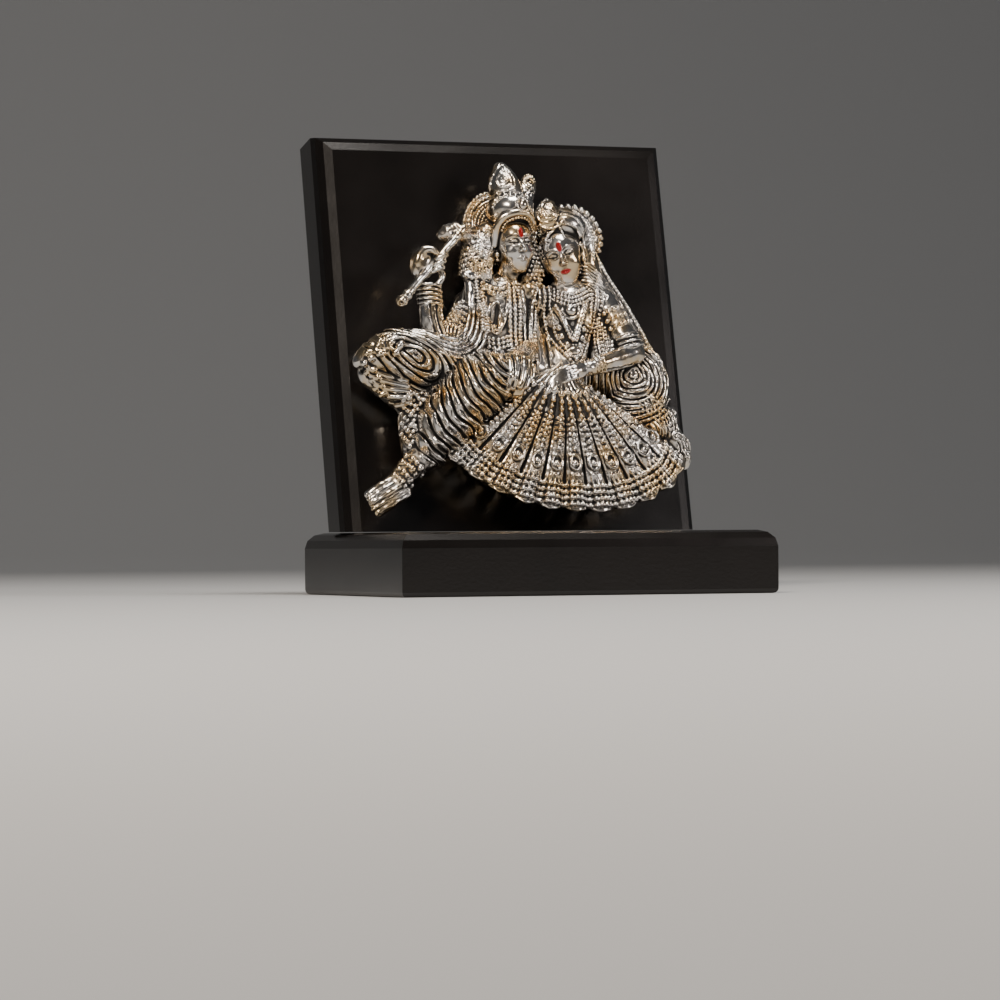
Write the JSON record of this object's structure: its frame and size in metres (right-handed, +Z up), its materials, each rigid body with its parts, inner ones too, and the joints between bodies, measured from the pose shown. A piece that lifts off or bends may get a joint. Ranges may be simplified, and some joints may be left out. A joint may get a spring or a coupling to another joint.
{
  "type": "radha krishna statue",
  "caption": "Seated couple in plated high relief on a black back board that leans on a low black base, a desk or shelf statue.",
  "frame": {"origin": "centre of the base's underside", "axes": "+Z up, the figures face -Y, +X to the right of someone who looks at them"},
  "size_m": [0.125, 0.1072, 0.1495],
  "materials": {
    "black_lacquer": "satin black lacquer with a brown tint on fibreboard",
    "plated_casting": "silver plate with warm highlights and black antiquing in the hollows"
  },
  "bodies": {
    "root": {"base": "black_lacquer", "back_board": "black_lacquer", "seated_couple_casting": "plated_casting"}
  },
  "joints": []
}
